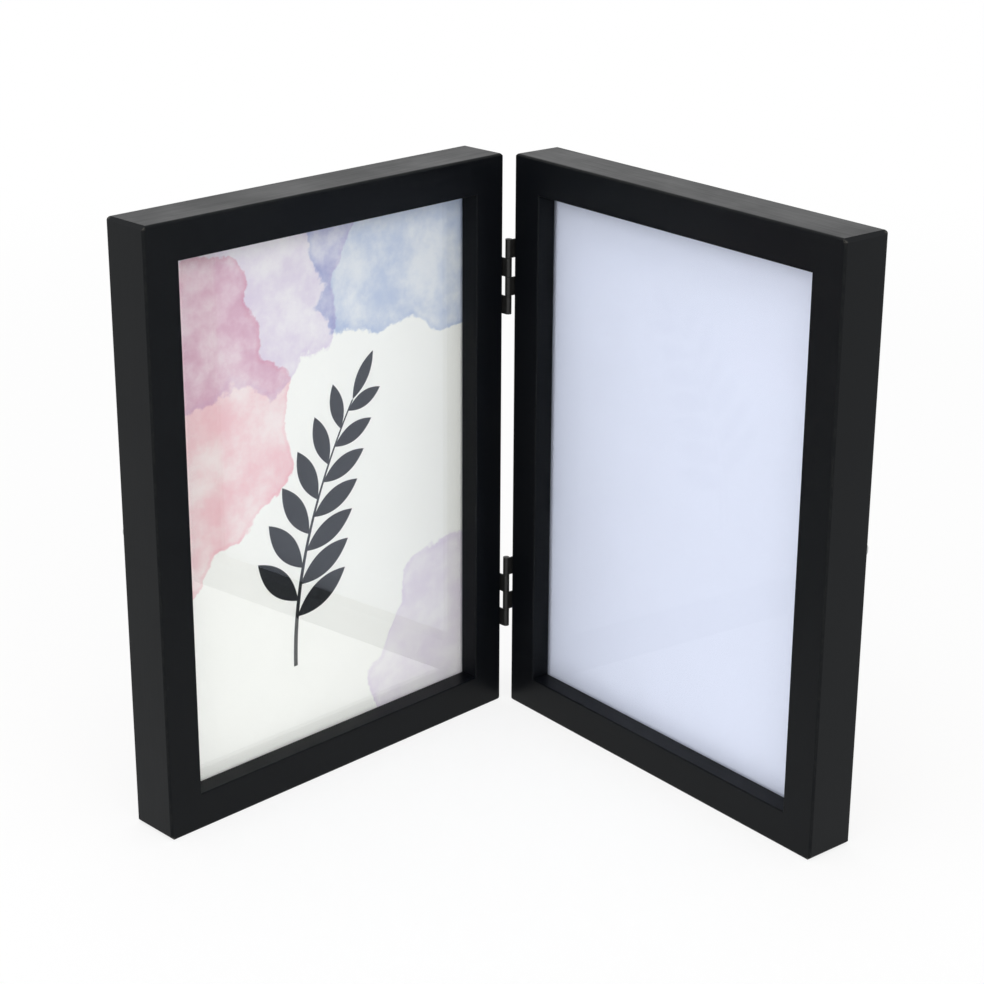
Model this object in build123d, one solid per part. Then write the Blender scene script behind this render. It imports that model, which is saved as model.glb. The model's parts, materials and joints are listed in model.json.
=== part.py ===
from build123d import *
import os

# A double photo frame: two mitred wooden frames joined along one long side by two small butt
# hinges, standing open like a book. Everything is in millimetres, +Z up, and the origin is at the
# bottom centre of the box around the whole object.
#
# Each frame is drawn as a panel seen from the front: x runs across it from the hinge axis, y runs
# up from its foot, and z comes out of its front face, which is the plane z = 0. The left panel is
# the right one mirrored, and stand() turns both about the hinge axis to where they stand.

# Photo that each frame holds, and the wood around it
photo_width = 127.0
photo_height = 177.8
rabbet_play = 0.8  # from the photo's edge to the rabbet
wall_width = 7.0  # wood beside the rabbet
lip_overlap = 5.0  # how far the lip reaches in over the rabbet
lip_depth = 6.7  # front face to the glass
edge_round = 0.8
corner_chamfer = 1.2  # the tips of the mitres, sanded off
sight_round = 0.4  # on the lip's front inner edge

# What lies in the rabbet, from the front to the back
glass_thickness = 2.0
print_play = 0.05  # air between the glass and the print
print_thickness = 0.25
filler_thickness = 5.4
backing_thickness = 3.0
backing_play = 0.5  # from the backing board's edge to the rabbet
backing_recess = 0.1  # from the backing board to the frame's back

# V-nails driven into the back of each mitre
nail_leg = 3.8
nail_thickness = 0.5
nail_depth = 8.0
nail_sink = 0.2

# Butt hinges
half_opening = 42.0  # degrees from the middle plane to each frame's face
hinge_length = 25.4
hinge_from_end = 40.9  # end of the frame to the middle of the hinge
knuckle_count = 4
knuckle_gap = 0.15
barrel_radius = 1.1
leaf_thickness = 0.4
leaf_reach = 12.7  # hinge axis to the leaf's far edge
axis_ahead = 1.4  # hinge axis in front of the frames' faces
notch_clearance = 1.2  # from the barrel to the bottom of the notch for a knuckle
seam_gap = 0.12  # between a knuckle's rolled end and its leaf
pin_clearance = 0.04

# Countersunk screws that hold the leaves
leaf_screw_radius = 0.8
leaf_screw_length = 8.5
leaf_screw_spacing = 15.0
leaf_screw_cover = 2.0  # from the screw's axis to the depth of the glass
leaf_screw_recess = (1.5, 0.35, 0.25)  # length, width and depth of each slot of the cross
screw_clearance = 0.05

# Turn buttons that keep the backing board in, and the cheese head screws that they turn on
button_thickness = 0.8
button_width = 5.4
button_reach = 11.0  # screw's axis to the tip
button_tip = 2.6  # length of the turned-up tip
button_lift = 0.7  # how far the tip is turned up
button_play = 0.1  # below the button and above it
button_bore_clearance = 0.06
button_screw_radius = 1.0
button_screw_head_radius = 1.8
button_screw_head_height = 1.0
button_screw_grip = 8.0  # length in the wood
button_screw_recess = (2.4, 0.5, 0.6)

# Worked out from the sizes above
face_width = wall_width + lip_overlap
rabbet_width = photo_width + 2 * rabbet_play
rabbet_height = photo_height + 2 * rabbet_play
sight_width = rabbet_width - 2 * lip_overlap
sight_height = rabbet_height - 2 * lip_overlap
frame_width = rabbet_width + 2 * wall_width
frame_height = rabbet_height + 2 * wall_width
frame_start = barrel_radius  # a leaf between the frame and the barrel is flush with the barrel
middle_x = frame_start + frame_width / 2
middle_y = frame_height / 2
print_front = lip_depth + glass_thickness + print_play
filler_front = print_front + print_thickness
backing_front = filler_front + filler_thickness
moulding_depth = backing_front + backing_thickness + backing_recess
knuckle_pitch = hinge_length / knuckle_count
notch_reach = barrel_radius + notch_clearance
pin_hole_radius = barrel_radius - leaf_thickness
leaf_screw_head_radius = leaf_screw_radius + leaf_thickness  # a 45 degree head as deep as the leaf
hinge_heights = {"lower": hinge_from_end, "upper": frame_height - hinge_from_end}
sides = {"left": -1, "right": 1}


def stand(side):
    """Where a panel stands with the hinge axis as Z: side is -1 on the left, 1 on the right."""
    panel = Plane((0, axis_ahead, 0), x_dir=(1, 0, 0), z_dir=(0, -1, 0))
    return Rot(0, 0, -side * (90 - half_opening)) * panel.location


def slab(width, height, bottom, front, thickness):
    """A flat block across the middle of the panel, from a height up and from a depth back."""
    outline = Pos(middle_x, bottom + height / 2, -front) * Rectangle(width, height)
    return extrude(outline, -thickness)


# Wooden mouldings


def moulding_ring():
    """The four mouldings as one ring, rabbeted and rounded, before it is cut at the mitres."""
    block = slab(frame_width, frame_height, 0, 0, moulding_depth)
    faces = block.faces().sort_by(Axis.Z)
    block = fillet(faces[0].edges() + faces[-1].edges(), edge_round)
    outline = chamfer(Rectangle(frame_width, frame_height).vertices(), corner_chamfer)
    block &= extrude(Pos(middle_x, middle_y, 0) * outline, -moulding_depth)
    ring = block - slab(sight_width, sight_height, face_width, 0, moulding_depth)
    front = ring.faces().sort_by(Axis.Z)[-1]
    ring = fillet(front.inner_wires()[0].edges(), sight_round)
    return ring - slab(rabbet_width, rabbet_height, wall_width, lip_depth, moulding_depth)


def mitre_block(first, second):
    """A block over one side of the panel, from corner to corner, its ends on the mitres.

    A corner is the signs of its x and y: (1, -1) is the lower one away from the hinge.
    """

    def point(corner, inset):
        x = corner[0] * (frame_width / 2 - inset)
        y = corner[1] * (frame_height / 2 - inset)
        return (x, y)

    reach = 2 * face_width
    outline = Polyline(
        point(first, 0), point(second, 0), point(second, reach), point(first, reach), close=True
    )
    face = Pos(middle_x, middle_y, 0) * make_face(outline)
    return extrude(face, moulding_depth, both=True)


def corner_nails():
    """The four V-nails of a frame, each with one leg in either moulding of its mitre."""
    legs = Rectangle(nail_leg, nail_thickness, align=(Align.MIN, Align.MIN))
    legs += Rectangle(nail_thickness, nail_leg, align=(Align.MIN, Align.MIN))
    inset = (wall_width - nail_leg) / 2
    nails = []
    for quarter, (x_sign, y_sign) in enumerate(((-1, -1), (1, -1), (1, 1), (-1, 1))):
        x = middle_x + x_sign * (frame_width / 2 - inset)
        y = middle_y + y_sign * (frame_height / 2 - inset)
        place = Pos(x, y, nail_sink - moulding_depth) * Rot(0, 0, 90 * quarter)
        nails.append(extrude(place * legs, nail_depth))
    return nails


# Screws


def cross_recess(size):
    """Two crossed slots, cut down from z = 0."""
    length, width, depth = size
    return Pos(0, 0, -depth / 2) * (Box(length, width, depth) + Box(width, length, depth))


def pilot_hole(radius, length):
    """A plain hole in the wood along -z from z = 0, with clearance around a screw."""
    depth = length + screw_clearance
    return Pos(0, 0, -depth / 2) * Cylinder(radius + screw_clearance, depth)


def leaf_screw_form(clearance=0.0):
    """The outside of a countersunk screw along -z, its head's face at z = 0."""
    head = leaf_screw_head_radius + clearance
    radius = leaf_screw_radius + clearance
    end = leaf_screw_length + clearance
    profile = Polyline(
        (0, 0), (head, 0), (radius, radius - head), (radius, -end), (0, -end), close=True
    )
    return revolve(Plane.XZ * make_face(profile), Axis.Z)


def leaf_screw():
    return leaf_screw_form() - cross_recess(leaf_screw_recess)


def leaf_screw_places(height):
    """Where one hinge's screws go into the side of the stile, from its leaf's outer face."""
    for y in (-leaf_screw_spacing / 2, leaf_screw_spacing / 2):
        origin = (frame_start - leaf_thickness, height + y, leaf_screw_cover - lip_depth)
        yield Plane(origin, x_dir=(0, 1, 0), z_dir=(-1, 0, 0)).location


def button_screw_end():
    """From the underside of a button screw's head to its end."""
    return button_screw_grip + 2 * button_play + button_thickness


def button_screw():
    """A cheese head screw along -z, the underside of its head at z = 0."""
    top, rim = button_screw_head_height, button_screw_head_radius
    radius, end = button_screw_radius, button_screw_end()
    profile = Polyline(
        (0, top), (rim, top), (rim, 0), (radius, 0), (radius, -end), (0, -end), close=True
    )
    screw = revolve(Plane.XZ * make_face(profile), Axis.Z)
    return screw - Pos(0, 0, top) * cross_recess(button_screw_recess)


# Turn buttons


def turn_button():
    """A stamped button: it turns about z, and its tongue points along +x with a turned-up tip."""
    heel = button_width / 2
    bend = button_reach - button_tip
    top = button_lift + button_thickness
    side_view = Polyline(
        (-heel, 0),
        (bend, 0),
        (button_reach, button_lift),
        (button_reach, top),
        (bend, button_thickness),
        (-heel, button_thickness),
        close=True,
    )
    strip = extrude(Plane.XZ * make_face(side_view), heel, both=True)
    outline = Pos((button_reach - heel) / 2, 0, 0) * SlotOverall(button_reach + heel, button_width)
    bore = Cylinder(button_screw_radius + button_bore_clearance, 2 * top)
    return (strip & extrude(outline, top)) - bore


def button_places():
    """Each turn button's name and its place, halfway up a stile on the back of a panel."""
    across = {
        "inner": (frame_start + wall_width / 2, 1),
        "outer": (frame_start + frame_width - wall_width / 2, -1),
    }
    for name, (x, inwards) in across.items():
        origin = (x, middle_y, -moulding_depth - button_play)
        place = Plane(origin, x_dir=(inwards, 0, 0), z_dir=(0, 0, -1))
        yield name, place.location


def button_screw_places():
    for _, place in button_places():
        yield place * Pos(0, 0, button_thickness + button_play)


# Hinges


def knuckle_section():
    """A knuckle seen down the barrel: an open curl, and the strap that joins it to its leaf."""
    curl = Circle(barrel_radius) - Circle(pin_hole_radius)
    seam = Rectangle(seam_gap, barrel_radius, align=(Align.MAX, Align.MAX))
    strap = Rectangle(leaf_thickness, notch_reach, align=(Align.MIN, Align.MAX))
    return curl - Pos(pin_hole_radius, 0) * seam + Pos(pin_hole_radius, 0) * strap


def hinge_leaf(side, height):
    """A leaf with its rolled knuckles, on the right panel: side is the one that it belongs to.

    The knuckles take turns down the barrel, with the right leaf's at the top. Where the other
    leaf has a knuckle, this one is notched back out of the gap between the frames.
    """
    outline = Rectangle(hinge_length, leaf_reach - notch_reach, align=(Align.CENTER, Align.MAX))
    origin = (frame_start - leaf_thickness, height, axis_ahead - notch_reach)
    plate = Plane(origin, x_dir=(0, 1, 0), z_dir=(1, 0, 0))
    leaf = extrude(plate * outline, leaf_thickness)
    section = knuckle_section()
    first = 0 if side == 1 else 1
    for index in range(first, knuckle_count, 2):
        top = height + hinge_length / 2 - index * knuckle_pitch - knuckle_gap / 2
        level = Plane((0, top, axis_ahead), x_dir=(1, 0, 0), z_dir=(0, -1, 0))
        leaf += extrude(level * section, knuckle_pitch - knuckle_gap)
    for place in leaf_screw_places(height):
        leaf -= place * leaf_screw_form(screw_clearance)
    return leaf


def hinge_pin(height):
    """The pin of one hinge, which stands on the hinge axis."""
    return Pos(0, 0, height) * Cylinder(pin_hole_radius - pin_clearance, hinge_length)


# One finished panel and the whole object


def mouldings():
    """The four mouldings of a panel, with their holes for nails and screws."""
    ring = moulding_ring()
    for nail in corner_nails():
        ring -= nail
    for height in hinge_heights.values():
        for place in leaf_screw_places(height):
            ring -= place * pilot_hole(leaf_screw_radius, leaf_screw_length)
    for place in button_screw_places():
        ring -= place * pilot_hole(button_screw_radius, button_screw_end())
    return {
        "top_rail": ring & mitre_block((1, 1), (-1, 1)),
        "bottom_rail": ring & mitre_block((-1, -1), (1, -1)),
        "hinge_stile": ring & mitre_block((-1, 1), (-1, -1)),
        "outer_stile": ring & mitre_block((1, -1), (1, 1)),
    }


def sheets():
    """The sheets that stand in the rabbet."""
    board_width = rabbet_width - 2 * backing_play
    board_height = rabbet_height - 2 * backing_play
    photo = (photo_width, photo_height, wall_width)
    board = (board_width, board_height, wall_width)
    return {
        "glass": slab(*photo, lip_depth, glass_thickness),
        "print": slab(*photo, print_front, print_thickness),
        "filler_pad": slab(*photo, filler_front, filler_thickness),
        "backing_board": slab(*board, backing_front, backing_thickness),
    }


def panel(side):
    """Every piece of a panel by name, drawn on the right: side is the one that it belongs to."""
    pieces = mouldings() | sheets()
    pieces["corner_nails"] = Compound(children=corner_nails())
    for name, place in button_places():
        pieces[f"{name}_turn_button"] = place * turn_button()
    screws = [place * button_screw() for place in button_screw_places()]
    pieces["button_screws"] = Compound(children=screws)
    screws = []
    for row, height in hinge_heights.items():
        pieces[f"{row}_hinge_leaf"] = hinge_leaf(side, height)
        screws += [place * leaf_screw() for place in leaf_screw_places(height)]
    pieces["leaf_screws"] = Compound(children=screws)
    return pieces


def whole_object():
    """Every node by name, where it stands, with the hinge axis as Z."""
    nodes = {f"{row}_hinge_pin": hinge_pin(height) for row, height in hinge_heights.items()}
    for word, side in sides.items():
        for name, shape in panel(side).items():
            if side == -1:
                shape = mirror(shape, about=Plane.YZ)
            nodes[f"{word}_{name}"] = stand(side) * shape
    return nodes


nodes = whole_object()
boxes = [shape.bounding_box() for shape in nodes.values()]
depth_middle = (min(box.min.Y for box in boxes) + max(box.max.Y for box in boxes)) / 2
centred = Pos(0, -depth_middle, 0)
os.makedirs("parts", exist_ok=True)
for name, shape in nodes.items():
    export_step(centred * shape, f"parts/{name}.step")

print(f"frame {frame_width:.1f} x {frame_height:.1f} x {moulding_depth:.1f} mm")
print(f"hinge axis at y = {-depth_middle:.4f} mm")
for word, side in sides.items():
    for name, place in button_places():
        spot = place.position
        turns_at = centred * stand(side) * Pos(side * spot.X, spot.Y, spot.Z)
        print(word, name, [round(value, 4) for value in turns_at.position])
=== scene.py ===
import json
from math import atan2, cos, pi, radians, sin

import bpy
from mathutils import Matrix, Vector

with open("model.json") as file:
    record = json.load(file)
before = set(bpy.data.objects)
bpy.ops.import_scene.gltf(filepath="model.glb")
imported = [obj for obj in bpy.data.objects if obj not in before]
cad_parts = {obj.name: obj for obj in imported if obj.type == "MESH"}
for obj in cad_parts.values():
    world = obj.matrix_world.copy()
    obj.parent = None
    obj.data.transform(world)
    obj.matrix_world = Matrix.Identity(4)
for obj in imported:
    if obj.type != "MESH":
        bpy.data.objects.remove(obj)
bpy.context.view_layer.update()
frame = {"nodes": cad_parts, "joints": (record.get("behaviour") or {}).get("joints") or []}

# Blender works in metres. Patterns on the object are written in millimetres, in the panel
# coordinates that panel_point gives. Colours are written as they are read off a picture, from 0
# to 255, and srgb makes them linear.
MM = 0.001

# The frames, as the CAD model has them
HALF_OPENING = 42  # degrees from the middle plane to each frame's face
FRAME_START = 1.1  # hinge axis to the frame's side
FRAME_WIDTH = 142.6
FRAME_HEIGHT = 193.4
FRAME_DEPTH = 17.5
AXIS_AHEAD = 1.4  # hinge axis in front of the frames' faces
RABBET_BOTTOM = 7.0
SHEET_HEIGHT = 177.8
SIDES = {"left": -1, "right": 1}
HINGE_FOOT = next(joint["pos_m"] for joint in frame["joints"] if joint["name"] == "fold")

# Camera, found by fitting the frames' corners to the photograph
SENSOR = 36
FOCAL_LENGTH = 81.23
VERTICAL_SHIFT = -0.0528
CAMERA_TARGET = Vector((-2.5, -50, 113.3)) * MM  # from the foot of the hinge axis
CAMERA_DISTANCE = 691.5 * MM
CAMERA_AZIMUTH = radians(2.97)
CAMERA_ELEVATION = radians(19.34)
CAMERA_ROLL = radians(0.3)

# Studio
WORLD_LIGHT = 0.62
FLOOR_SIZE = 12
FLOOR_COLOUR = (243, 243, 243)
FLOOR_ROUGHNESS = 0.9
FLOOR_SPECULAR = 0.1
FLOOR_LIFT = 0.82  # how far the floor is lifted to white where it is seen
FLOOR_FADE = (0.35, 0.9)  # from the object to where nothing is left but white
LAMPS = {  # place, size and power
    "overhead": ((-0.1, -0.15, 1.3), 1.1, 6.5),
    "front_left": ((-0.9, -1.2, 0.7), 1.5, 6.2),
    "front_right": ((0.9, -1.2, 0.7), 1.5, 8.6),
    "behind": ((-0.2, 1.2, 0.8), 1.2, 0.9),
}

# Painted wood
PAINT = ((8, 10, 15), (14, 16, 19))
PAINT_ON_GRAIN = (24, 24, 24)
# Lighter paint along the edges: rubbed paint, and partly a painted highlight of the rounded edges
PAINT_RUBBED_AND_EDGE_HIGHLIGHT = (40, 40, 38)
PAINT_CHIPPED = (100, 98, 92)
PAINT_GLARE = (252, 255, 246)
PAINT_SPECULAR = 0.1
PAINT_ROUGHNESS = (0.34, 0.42)
PAINT_RELIEF = 0.016
GRAIN_STRETCH = 0.035
RUBBED_AND_HIGHLIGHT_BAND = (0.9, 0.2)  # from an edge: where the rubbing and the painted highlight start and where they are strongest
CHIPPED_BAND = (1.3, 0.9)  # the same from a corner, for the chips

# Backing boards and filler pads
FIBRE_ANGLES = (12, 57, 101, 148)
FIBRE_STRETCH = (0.22, 1, 1.5)
BOARD_TONES = ((96, 70, 47), (121, 91, 62), (152, 119, 84))
BOARD_STOPS = (0.22, 0.36, 0.55)  # how high the fibres lie where each tone is
BOARD_SPECK = (74, 52, 34)
BOARD_MOTTLE = (106, 78, 53)
BOARD_ROUGHNESS = (0.5, 0.66)
BOARD_RELIEF = 0.05
KRAFT = ((150, 118, 82), (192, 160, 120))
KRAFT_FLUTE = (128, 98, 66)
KRAFT_ROUGHNESS = (0.8, 0.92)
KRAFT_RELIEF = 0.06
FLUTE_PITCH = 3.0

# Steel: two tones, roughness, how metallic it is and the scale of its clouds
STEELS = {
    "nail_steel": (((118, 118, 116), (160, 160, 158)), 0.42, 1.0, 0.5),
    "screw_steel": (((176, 176, 174), (206, 206, 203)), 0.3, 1.0, 0.4),
    "button_steel": (((160, 162, 163), (198, 199, 199)), 0.34, 1.0, 0.6),
    "blackened_steel": (((26, 26, 26), (38, 38, 37)), 0.42, 0.35, 0.5),
    "worn_black_steel": (((34, 34, 34), (92, 91, 89)), 0.36, 0.7, 0.9),
}
STEEL_CLOUDING = 0.07  # how far the clouds change its roughness either way
STEEL_RELIEF = 0.02

# Glass. The right pane mirrors hardly anything.
GLASS_COLOUR = (254, 255, 254.5)
GLASS_SPECULAR = 0.15
GLASS_IOR = {"left": 1.5, "right": 1.14}

# Printed sheets
PAPER = (252, 252, 248)
PAPER_SPECULAR = 0.3
PAPER_ROUGHNESS = (0.62, 0.78)
PAPER_RELIEF = 0.004
RIGHT_SHEET = (216, 221, 240)
PINK = (240, 172, 188)
LAVENDER = (222, 208, 234)
PERIWINKLE = (178, 194, 228)
WASHES = (  # middle on the sheet, reach, depth of colour and colour
    ((-66, 28), 54, 0.7, PINK),
    ((-36, 80), 48, 0.85, LAVENDER),
    ((40, 86), 48, 0.85, PERIWINKLE),
    ((60, -74), 42, 0.65, LAVENDER),
)
# As shares of a wash's reach: its plain round form, its lobes and its frayed edge
WASH_ROUND = 0.45
WASH_LOBES = 0.9
WASH_FRAYS = 0.16

# Sprig on the left sheet: a bowed stem with leaves on either side by turns and one at its tip
INK = ((20, 22, 25), (36, 39, 43))
STEM_FOOT = (-14, -58)
STEM_LEAN = 26
STEM_BOW = -26
STEM_HEIGHT = 84
STEM_HALF_WIDTHS = (0.75, 0.3)
LEAF_COUNT = 13
LEAF_SHARES = (0.2, 0.96)  # where on the stem the first leaf grows and the last
LEAF_SPREADS = (58, 38)  # degrees off the stem, at its foot and at its tip
LEAF_TAPER = 0.42  # how much smaller the leaves get towards the tip
LEAF_SIZE = (24, 8.5)
TIP_LEAF_SIZE = (17, 5)


# Shader nodes


class Graph:
    """Short calls for building one node tree. A value is a socket, a number or a tuple."""

    def __init__(self, tree):
        self.tree = tree
        tree.nodes.clear()

    def node(self, kind, settings=None, **values):
        """A new node. Settings are its properties, values its inputs, with _ for a space."""
        node = self.tree.nodes.new(kind)
        for key, value in (settings or {}).items():
            setattr(node, key, value)
        for key, value in values.items():
            self.put(node.inputs[key.replace("_", " ")], value)
        return node

    def put(self, socket, value):
        if isinstance(value, bpy.types.NodeSocket):
            self.tree.links.new(value, socket)
        else:
            socket.default_value = value

    def math(self, operation, *values):
        node = self.node("ShaderNodeMath", {"operation": operation})
        for socket, value in zip(node.inputs, values):
            self.put(socket, value)
        return node.outputs[0]

    def add(self, first, second):
        return self.math("ADD", first, second)

    def minus(self, first, second):
        return self.math("SUBTRACT", first, second)

    def times(self, first, second):
        return self.math("MULTIPLY", first, second)

    def mix(self, factor, first, second, blend="MIX"):
        """The first colour where factor is 0, the second where it is 1."""
        node = self.node("ShaderNodeMix", {"data_type": "RGBA", "blend_type": blend})
        self.put(node.inputs[0], factor)
        self.put(node.inputs[6], first)
        self.put(node.inputs[7], second)
        return node.outputs[2]

    def steps(self, value, low, high, to_low=0.0, to_high=1.0):
        """A smooth step: to_low where value is low, to_high where it is high."""
        node = self.node("ShaderNodeMapRange", {"interpolation_type": "SMOOTHSTEP"}, Value=value)
        for name, number in (
            ("From Min", low), ("From Max", high), ("To Min", to_low), ("To Max", to_high)
        ):
            self.put(node.inputs[name], number)
        return node.outputs[0]

    def noise(self, point, scale, detail=3.0, roughness=0.5, distortion=0.0):
        node = self.node(
            "ShaderNodeTexNoise", Vector=point, Scale=scale, Detail=detail,
            Roughness=roughness, Distortion=distortion,
        )
        return node.outputs[0]

    def ramp(self, value, *stops):
        """A colour ramp through (position, colour) stops."""
        node = self.node("ShaderNodeValToRGB", Fac=value)
        elements = node.color_ramp.elements
        while len(elements) < len(stops):
            elements.new(0.5)
        for element, (position, colour) in zip(elements, stops):
            element.position = position
            element.color = colour
        return node.outputs[0]

    def stretch(self, point, scale):
        return self.node("ShaderNodeMapping", Vector=point, Scale=scale).outputs[0]

    def placed(self, point, place, turn, scale):
        """The point in coordinates that have their own place, turn about each axis and scale."""
        node = self.node("ShaderNodeMapping", {"vector_type": "TEXTURE"}, Vector=point)
        node.inputs["Location"].default_value = place
        node.inputs["Rotation"].default_value = turn
        node.inputs["Scale"].default_value = scale
        return node.outputs[0]

    def split(self, point):
        return self.node("ShaderNodeSeparateXYZ", Vector=point).outputs

    def bump(self, height, depth, strength=1.0):
        """A bump of that depth in millimetres."""
        node = self.node("ShaderNodeBump", Height=height, Distance=depth * MM, Strength=strength)
        return node.outputs[0]

    def seen(self):
        """1 for the rays that show the background itself, 0 for the rays that light things."""
        path = self.node("ShaderNodeLightPath").outputs
        straight = self.math("MAXIMUM", path["Is Camera Ray"], path["Is Glossy Ray"])
        return self.math("MAXIMUM", straight, path["Is Transmission Ray"])


def srgb(red, green, blue):
    """The linear colour of one that is written 0 to 255."""

    def linear(value):
        part = value / 255
        return part / 12.92 if part <= 0.04045 else ((part + 0.055) / 1.055) ** 2.4

    return (linear(red), linear(green), linear(blue), 1)


def new_material(name):
    """A material with its graph and an output that the caller links to."""
    material = bpy.data.materials.new(name)
    material.use_nodes = True
    graph = Graph(material.node_tree)
    return material, graph, graph.node("ShaderNodeOutputMaterial")


def surface(name, paint):
    """A material of one Principled shader: paint(graph) gives the values of its sockets."""
    material, graph, output = new_material(name)
    shader = graph.node("ShaderNodeBsdfPrincipled")
    for socket, value in paint(graph).items():
        graph.put(shader.inputs[socket], value)
    graph.put(output.inputs["Surface"], shader.outputs[0])
    return material


def object_point(graph):
    """Object coordinates in millimetres. They go with the body that the piece rides on."""
    point = graph.node("ShaderNodeTexCoord").outputs["Object"]
    return graph.stretch(point, (1 / MM, 1 / MM, 1 / MM))


def panel_point(graph, word):
    """Panel coordinates in millimetres from the foot of the hinge axis: x across, y back, z up."""
    point = graph.node("ShaderNodeTexCoord").outputs["Object"]
    turn = -SIDES[word] * radians(90 - HALF_OPENING)
    return graph.placed(point, HINGE_FOOT, (0, 0, turn), (MM, MM, MM))


# Wood


def edge_distances(graph, point):
    """How far a point on a frame's outside is from the nearest edge, and from the corner."""
    x, y, z = graph.split(point)
    distances = []
    for value, low, size in (
        (graph.math("ABSOLUTE", x), FRAME_START, FRAME_WIDTH),
        (y, AXIS_AHEAD, FRAME_DEPTH),
        (z, 0, FRAME_HEIGHT),
    ):
        off_middle = graph.math("ABSOLUTE", graph.minus(value, low + size / 2))
        distances.append(graph.minus(size / 2, off_middle))
    across, back, up = distances
    nearer = graph.math("MINIMUM", across, back)
    further = graph.math("MAXIMUM", across, back)
    edge = graph.math("MAXIMUM", nearer, graph.math("MINIMUM", further, up))
    corner = graph.math("MAXIMUM", further, up)
    return edge, corner


def painted_wood(word, along):
    """Satin black paint over a fine-grained wood, with the grain along x or z of the panel."""

    def paint(graph):
        point = panel_point(graph, word)
        lengthways = (GRAIN_STRETCH, 1, 1) if along == "x" else (1, 1, GRAIN_STRETCH)
        grain = graph.noise(graph.stretch(point, lengthways), 1.6, 5, 0.6)
        peel = graph.noise(point, 2.2, 2)
        patches = graph.noise(point, 0.035, 4, 0.6)
        flecks = graph.noise(point, 0.4, 4, 0.7)
        edge, corner = edge_distances(graph, point)

        colour = graph.mix(patches, *[srgb(*tone) for tone in PAINT])
        shows = graph.steps(grain, 0.55, 0.75, 0, 0.2)
        colour = graph.mix(shows, colour, srgb(*PAINT_ON_GRAIN))
        # Lighter flecks along every edge: rubbed paint that also paints the edges' highlight into
        # the colour
        rubbed_and_highlight = graph.times(graph.steps(edge, *RUBBED_AND_HIGHLIGHT_BAND, 0, 0.3), graph.steps(flecks, 0.4, 0.7))
        colour = graph.mix(rubbed_and_highlight, colour, srgb(*PAINT_RUBBED_AND_EDGE_HIGHLIGHT))
        near_corner = graph.steps(corner, *CHIPPED_BAND, 0, 0.35)
        chipped = graph.times(near_corner, graph.steps(flecks, 0.45, 0.6))
        colour = graph.mix(chipped, colour, srgb(*PAINT_CHIPPED))

        relief = graph.add(graph.times(grain, 0.6), graph.times(peel, 0.4))
        patchy = graph.steps(patches, 0.3, 0.7, *PAINT_ROUGHNESS)
        roughness = graph.add(patchy, graph.steps(grain, 0.35, 0.7, -0.03, 0.03))
        return {
            "Base Color": colour,
            "Roughness": roughness,
            "Specular IOR Level": PAINT_SPECULAR,
            "Specular Tint": srgb(*PAINT_GLARE),
            "Normal": graph.bump(relief, PAINT_RELIEF, 0.5),
        }

    return surface(f"painted_wood_{word}_{along}", paint)


def fibreboard(word):
    """Brown hardboard: fine bent fibres pressed every way, with a few dark specks."""

    def paint(graph):
        point = panel_point(graph, word)
        fibres = 0.0
        for angle in FIBRE_ANGLES:
            turned = graph.placed(point, (0, 0, 0), (0, radians(angle), 0), (1, 1, 1))
            layer = graph.noise(graph.stretch(turned, FIBRE_STRETCH), 1.0, 4, distortion=1.2)
            fibres = graph.math("MAXIMUM", fibres, graph.math("POWER", layer, 2))
        specks = graph.noise(point, 0.9, 3, 0.7)
        mottle = graph.noise(point, 0.05, 4, 0.6)
        tones = [srgb(*tone) for tone in BOARD_TONES]
        colour = graph.ramp(fibres, *zip(BOARD_STOPS, tones))
        colour = graph.mix(graph.steps(specks, 0.66, 0.74, 0, 0.5), colour, srgb(*BOARD_SPECK))
        colour = graph.mix(graph.steps(mottle, 0.35, 0.7, 0, 0.25), colour, srgb(*BOARD_MOTTLE))
        return {
            "Base Color": colour,
            "Roughness": graph.steps(fibres, 0.2, 0.5, *BOARD_ROUGHNESS),
            "Normal": graph.bump(fibres, BOARD_RELIEF, 0.5),
        }

    return surface(f"fibreboard_{word}", paint)


# Card and paper


def corrugated_card():
    """Kraft card with its flutes showing through as faint level lines."""

    def paint(graph):
        point = object_point(graph)
        up = graph.split(point)[2]
        flutes = graph.math("SINE", graph.times(up, 2 * pi / FLUTE_PITCH))
        fibres = graph.noise(graph.stretch(point, (0.4, 0.4, 1)), 1.2, 5, 0.7)
        colour = graph.mix(fibres, *[srgb(*tone) for tone in KRAFT])
        colour = graph.mix(graph.steps(flutes, -1, 1, 0, 0.15), colour, srgb(*KRAFT_FLUTE))
        return {
            "Base Color": colour,
            "Roughness": graph.steps(fibres, 0.3, 0.7, *KRAFT_ROUGHNESS),
            "Normal": graph.bump(graph.add(flutes, fibres), KRAFT_RELIEF, 0.6),
        }

    return surface("corrugated_card", paint)


def paper_values(graph, point, colour):
    """A smooth printed sheet: the colour with the paper's own faint unevenness."""
    tooth = graph.noise(point, 1.4, 4, 0.6)
    cloud = graph.noise(point, 0.05, 3)
    shade = graph.add(
        graph.steps(tooth, 0.3, 0.7, 0.992, 1.0), graph.steps(cloud, 0.3, 0.7, -0.01, 0.0)
    )
    grey = graph.node("ShaderNodeCombineColor", Red=shade, Green=shade, Blue=shade).outputs[0]
    return {
        "Base Color": graph.mix(1.0, colour, grey, "MULTIPLY"),
        "Roughness": graph.steps(tooth, 0.3, 0.7, *PAPER_ROUGHNESS),
        "Specular IOR Level": PAPER_SPECULAR,
        "Normal": graph.bump(tooth, PAPER_RELIEF, 0.4),
    }


def plain_sheet():
    """The right frame's sheet: one pale lavender all over."""

    def paint(graph):
        return paper_values(graph, panel_point(graph, "right"), srgb(*RIGHT_SHEET))

    return surface("right_print", paint)


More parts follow.
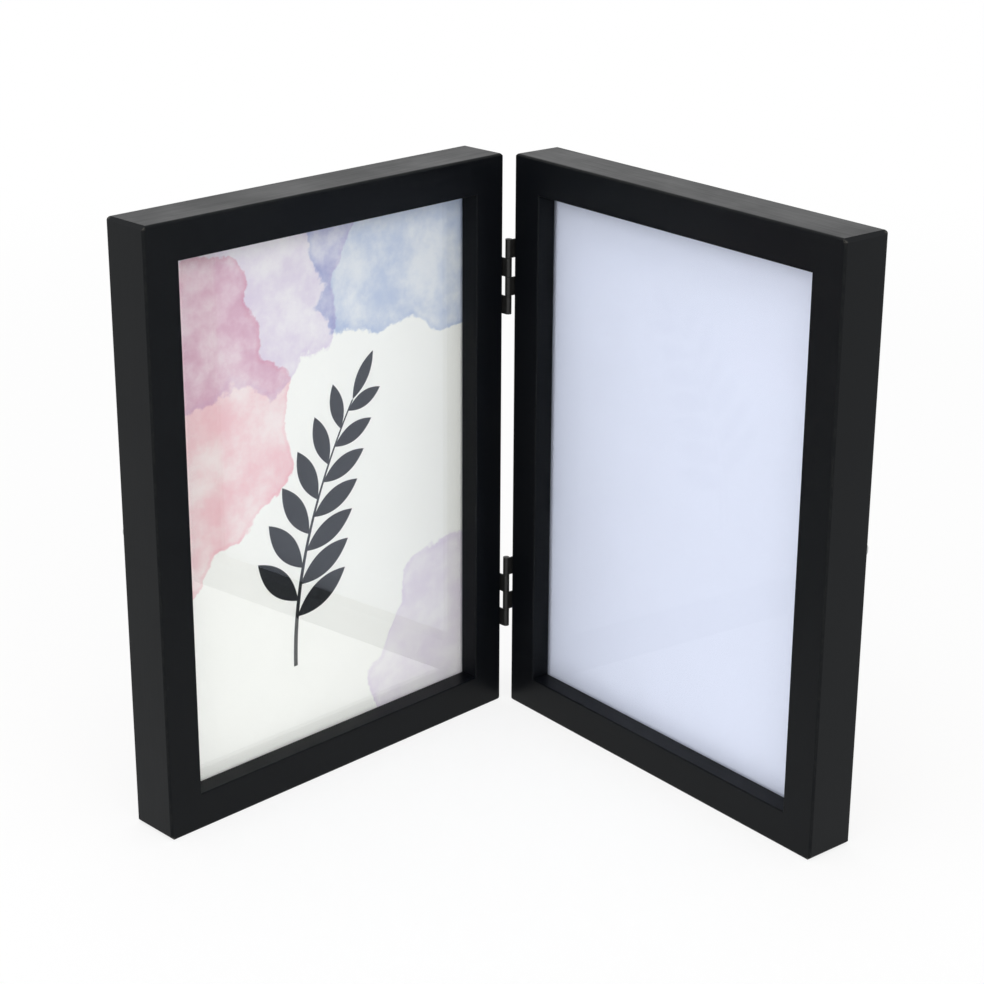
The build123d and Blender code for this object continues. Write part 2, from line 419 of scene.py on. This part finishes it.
def sheet_point(graph):
    """The left sheet's own coordinates: x to the right and y up from its middle."""
    x, _, z = graph.split(panel_point(graph, "left"))
    across = graph.add(x, FRAME_START + FRAME_WIDTH / 2)
    up = graph.minus(z, RABBET_BOTTOM + SHEET_HEIGHT / 2)
    return graph.node("ShaderNodeCombineXYZ", X=across, Y=up).outputs[0], across, up


def wash(graph, point, paper, middle, reach, depth, tint):
    """One watercolour wash laid on paper: blotchy inside, with a darker pool along its edge."""
    node = graph.node("ShaderNodeVectorMath", {"operation": "DISTANCE"})
    graph.put(node.inputs[0], point)
    graph.put(node.inputs[1], (*middle, 0))
    round_form = graph.minus(WASH_ROUND * reach, node.outputs["Value"])
    lobes = graph.times(graph.noise(point, 0.032, 1), WASH_LOBES * reach)
    frays = graph.times(graph.noise(point, 0.16, 5, 0.62), WASH_FRAYS * reach)
    inside = graph.add(round_form, graph.add(lobes, frays))
    blooms = graph.steps(graph.noise(point, 0.055, 6, 0.62), 0.32, 0.68, 0.35 * depth, depth)
    body = graph.times(graph.steps(inside, 0, 1.2), blooms)
    pool = graph.times(graph.steps(inside, 0, 0.8), graph.steps(inside, 3.5, 0.8, 0, 0.22 * depth))
    return graph.mix(graph.add(body, pool), paper, srgb(*tint), "MULTIPLY")


def leaf(graph, point, base, angle, size):
    """Under 1 inside a pointed leaf that grows from base, over 1 outside."""
    half_length = size[0] / 2
    middle = (base[0] + half_length * cos(angle), base[1] + half_length * sin(angle), 0)
    along = graph.placed(point, middle, (0, 0, angle), (half_length, size[1] / 2, 1))
    x, y, _ = graph.split(along)
    return graph.add(graph.times(x, x), graph.math("ABSOLUTE", y))


def stem_point(share):
    """Where the sprig's stem is, from its foot at 0 to its tip at 1."""
    x = STEM_FOOT[0] + STEM_LEAN * share + STEM_BOW * share * (1 - share)
    return x, STEM_FOOT[1] + STEM_HEIGHT * share


def stem_angle(share):
    lean = STEM_LEAN + STEM_BOW * (1 - 2 * share)
    return atan2(STEM_HEIGHT, lean)


def stem(graph, across, up):
    """1 on the sprig's stem, 0 beside it."""
    share = graph.math("DIVIDE", graph.minus(up, STEM_FOOT[1]), STEM_HEIGHT)
    bow = graph.times(graph.times(share, graph.minus(1, share)), STEM_BOW)
    middle = graph.add(graph.add(graph.times(share, STEM_LEAN), bow), STEM_FOOT[0])
    off_middle = graph.math("ABSOLUTE", graph.minus(across, middle))
    beside = graph.minus(off_middle, graph.steps(share, 0, 1, *STEM_HALF_WIDTHS))
    off_half = graph.math("ABSOLUTE", graph.minus(share, 0.5))
    return graph.times(graph.steps(beside, 0.1, 0), graph.math("LESS_THAN", off_half, 0.5))


def sprig(graph, point, across, up):
    """1 on the ink of a leafy sprig, 0 beside it."""
    nearest = leaf(graph, point, stem_point(1), stem_angle(1), TIP_LEAF_SIZE)
    first, last = LEAF_SHARES
    for index in range(LEAF_COUNT):
        share = first + (last - first) * index / (LEAF_COUNT - 1)
        shrink = 1 - LEAF_TAPER * share ** 2
        spread = LEAF_SPREADS[0] + (LEAF_SPREADS[1] - LEAF_SPREADS[0]) * share
        angle = stem_angle(share) + radians(spread) * (1 if index % 2 else -1)
        size = [length * shrink for length in LEAF_SIZE]
        form = leaf(graph, point, stem_point(share), angle, size)
        nearest = graph.math("MINIMUM", nearest, form)
    leaves = graph.steps(nearest, 1.0, 0.95)
    return graph.math("MAXIMUM", stem(graph, across, up), leaves)


def printed_sheet():
    """The left frame's print: washes of pink, lavender and periwinkle, and a dark leafy sprig."""

    def paint(graph):
        point, across, up = sheet_point(graph)
        colour = srgb(*PAPER)
        for middle, reach, depth, tint in WASHES:
            colour = wash(graph, point, colour, middle, reach, depth, tint)
        ink = graph.mix(graph.noise(point, 0.4, 5, 0.7), *[srgb(*tone) for tone in INK])
        colour = graph.mix(sprig(graph, point, across, up), colour, ink)
        return paper_values(graph, point, colour)

    return surface("left_print", paint)


# Metal and glass


def steel(name):
    """Plated or blackened steel, with fine rolling marks and a cloudy finish."""
    tones, roughness, metallic, cloud_scale = STEELS[name]
    smooth, rough = roughness - STEEL_CLOUDING, roughness + STEEL_CLOUDING

    def paint(graph):
        point = object_point(graph)
        cloud = graph.noise(point, cloud_scale, 4, 0.6)
        marks = graph.noise(graph.stretch(point, (1, 1, 0.15)), 5, 4, 0.6)
        return {
            "Base Color": graph.mix(cloud, *[srgb(*tone) for tone in tones]),
            "Metallic": metallic,
            "Roughness": graph.steps(cloud, 0.3, 0.7, smooth, rough),
            "Normal": graph.bump(marks, STEEL_RELIEF, 0.5),
        }

    return surface(name, paint)


def pane(word):
    """Clear float glass. Shadow rays go straight through it, so that the lamps light the print."""
    material, graph, output = new_material(f"glass_{word}")
    glass = graph.node("ShaderNodeBsdfPrincipled")
    glass.inputs["Base Color"].default_value = srgb(*GLASS_COLOUR)
    glass.inputs["Roughness"].default_value = 0
    glass.inputs["IOR"].default_value = GLASS_IOR[word]
    glass.inputs["Specular IOR Level"].default_value = GLASS_SPECULAR
    glass.inputs["Transmission Weight"].default_value = 1
    through = graph.node("ShaderNodeBsdfTransparent")
    mixed = graph.node("ShaderNodeMixShader")
    graph.put(mixed.inputs[0], graph.node("ShaderNodeLightPath").outputs["Is Shadow Ray"])
    graph.put(mixed.inputs[1], glass.outputs[0])
    graph.put(mixed.inputs[2], through.outputs[0])
    graph.put(output.inputs["Surface"], mixed.outputs[0])
    return material


# Studio


def set_world():
    """White where it is seen, and plain even light on the object."""
    world = bpy.data.worlds.new("studio")
    bpy.context.scene.world = world
    world.use_nodes = True
    graph = Graph(world.node_tree)
    strength = graph.steps(graph.seen(), 0, 1, WORLD_LIGHT, 1)
    background = graph.node("ShaderNodeBackground", Color=(1, 1, 1, 1), Strength=strength)
    output = graph.node("ShaderNodeOutputWorld")
    graph.put(output.inputs["Surface"], background.outputs[0])


def floor_material():
    """Pale paper that keeps the object's shadow and fades to white further out."""
    material, graph, output = new_material("floor")
    point = graph.node("ShaderNodeTexCoord").outputs["Object"]
    distance = graph.node("ShaderNodeVectorMath", {"operation": "LENGTH"})
    graph.put(distance.inputs[0], point)
    paper = graph.node("ShaderNodeBsdfPrincipled", Base_Color=srgb(*FLOOR_COLOUR))
    paper.inputs["Roughness"].default_value = FLOOR_ROUGHNESS
    paper.inputs["Specular IOR Level"].default_value = FLOOR_SPECULAR
    white = graph.node("ShaderNodeEmission", Strength=1.0)
    lift = graph.steps(distance.outputs["Value"], *FLOOR_FADE, FLOOR_LIFT, 1)
    mixed = graph.node("ShaderNodeMixShader")
    graph.put(mixed.inputs[0], graph.times(graph.seen(), lift))
    graph.put(mixed.inputs[1], paper.outputs[0])
    graph.put(mixed.inputs[2], white.outputs[0])
    graph.put(output.inputs["Surface"], mixed.outputs[0])
    return material


def add_floor():
    bpy.ops.mesh.primitive_plane_add(size=FLOOR_SIZE)
    floor = bpy.context.object
    floor.name = "floor"
    floor.data.materials.append(floor_material())


def add_lamp(name, place, size, power):
    """A square softbox that points at the middle of the object."""
    data = bpy.data.lights.new(name, "AREA")
    data.size = size
    data.energy = power
    lamp = bpy.data.objects.new(name, data)
    back = Vector(place) - Vector((0, 0, FRAME_HEIGHT / 2 * MM))
    turn = back.to_track_quat("Z", "Y").to_matrix().to_4x4()
    lamp.matrix_world = Matrix.Translation(place) @ turn
    bpy.context.scene.collection.objects.link(lamp)


def add_camera():
    data = bpy.data.cameras.new("camera")
    data.sensor_width = SENSOR
    data.lens = FOCAL_LENGTH
    data.shift_y = VERTICAL_SHIFT
    camera = bpy.data.objects.new("camera", data)
    level = cos(CAMERA_ELEVATION)
    back = Vector((
        sin(CAMERA_AZIMUTH) * level, -cos(CAMERA_AZIMUTH) * level, sin(CAMERA_ELEVATION)
    ))
    place = Matrix.Translation(Vector(HINGE_FOOT) + CAMERA_TARGET + CAMERA_DISTANCE * back)
    turn = back.to_track_quat("Z", "Y").to_matrix().to_4x4()
    camera.matrix_world = place @ turn @ Matrix.Rotation(CAMERA_ROLL, 4, "Z")
    bpy.context.scene.collection.objects.link(camera)
    bpy.context.scene.camera = camera


# The object's finishes


def dress(node, material):
    """Puts a material on every slot of a CAD node."""
    for slot in frame["nodes"][node].material_slots:
        slot.material = material


def dress_panel(word, shared):
    upright = painted_wood(word, "z")
    level = painted_wood(word, "x")
    finishes = {
        "outer_stile": upright,
        "hinge_stile": upright,
        "top_rail": level,
        "bottom_rail": level,
        "glass": pane(word),
        "print": printed_sheet() if word == "left" else plain_sheet(),
        "filler_pad": shared["card"],
        "backing_board": fibreboard(word),
        "corner_nails": shared["nails"],
        "button_screws": shared["screws"],
        "inner_turn_button": shared["buttons"],
        "outer_turn_button": shared["buttons"],
        "leaf_screws": shared["hinge_screws"],
        "upper_hinge_leaf": shared["hinges"],
        "lower_hinge_leaf": shared["hinges"],
    }
    for piece, material in finishes.items():
        dress(f"{word}_{piece}", material)


shared = {
    "card": corrugated_card(),
    "nails": steel("nail_steel"),
    "screws": steel("screw_steel"),
    "buttons": steel("button_steel"),
    "hinges": steel("blackened_steel"),
    "hinge_screws": steel("worn_black_steel"),
}
for word in SIDES:
    dress_panel(word, shared)
for row in ("upper", "lower"):
    dress(f"{row}_hinge_pin", shared["hinges"])

set_world()
add_floor()
for name, (place, size, power) in LAMPS.items():
    add_lamp(name, place, size, power)
add_camera()
bpy.context.scene.view_settings.view_transform = "Standard"
